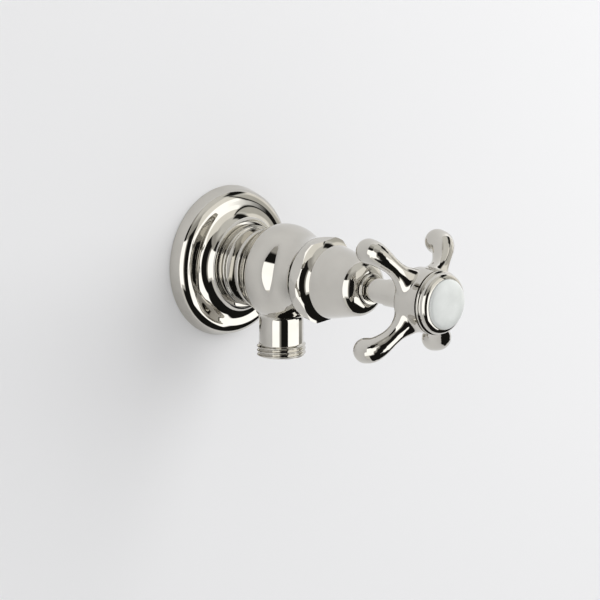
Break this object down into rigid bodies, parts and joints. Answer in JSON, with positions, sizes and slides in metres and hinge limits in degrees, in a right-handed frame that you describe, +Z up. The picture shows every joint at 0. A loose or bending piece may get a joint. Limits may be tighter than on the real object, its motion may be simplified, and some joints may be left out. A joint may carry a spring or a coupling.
{
  "type": "angle valve",
  "caption": "Quarter-turn angle valve with a wall escutcheon, a round body with a threaded outlet pointing down, a hexagonal bonnet and a drooping cross handle with a porcelain button",
  "frame": {"origin": "centre of the back of the escutcheon, in the plane of the finished wall", "axes": "+Y into the wall along the valve's own axis, so the valve stands out of the wall along -Y; +Z up; the outlet points along -Z"},
  "size_m": [0.0656, 0.1462, 0.0691],
  "materials": {
    "polished_nickel": "mirror-polished nickel plate on brass",
    "machined_brass": "fine turned brass",
    "stainless_steel": "plain machined stainless steel",
    "black_rubber": "matt moulded nitrile rubber",
    "white_acetal": "smooth low-friction plastic",
    "white_ceramic": "lapped alumina",
    "glazed_porcelain": "glossy clear glaze over white porcelain"
  },
  "bodies": {
    "valve": {"escutcheon": "polished_nickel", "escutcheon_o_ring": "black_rubber", "valve_body": "polished_nickel", "bonnet": "polished_nickel", "bonnet_o_ring": "black_rubber", "cartridge_body": "machined_brass", "cartridge_o_ring": "black_rubber", "seat_seal": "black_rubber", "fixed_disc": "white_ceramic", "gland_ring": "polished_nickel"},
    "handle": {"moving_disc": "white_ceramic", "spindle": "machined_brass", "spindle_o_ring_lower": "black_rubber", "spindle_o_ring_upper": "black_rubber", "slip_washer": "white_acetal", "retaining_clip": "stainless_steel", "stem_sleeve": "polished_nickel", "cross_handle": "polished_nickel", "screw_washer": "stainless_steel", "handle_screw": "stainless_steel", "button_bezel": "polished_nickel", "button_gasket": "black_rubber", "porcelain_button": "glazed_porcelain"}
  },
  "joints": [
    {"name": "handle_turn", "type": "hinge", "parent": "valve", "child": "handle", "pos_m": [0, -0.1, 0], "axis": [0, -1, 0], "range_deg": [0, 90]}
  ]
}
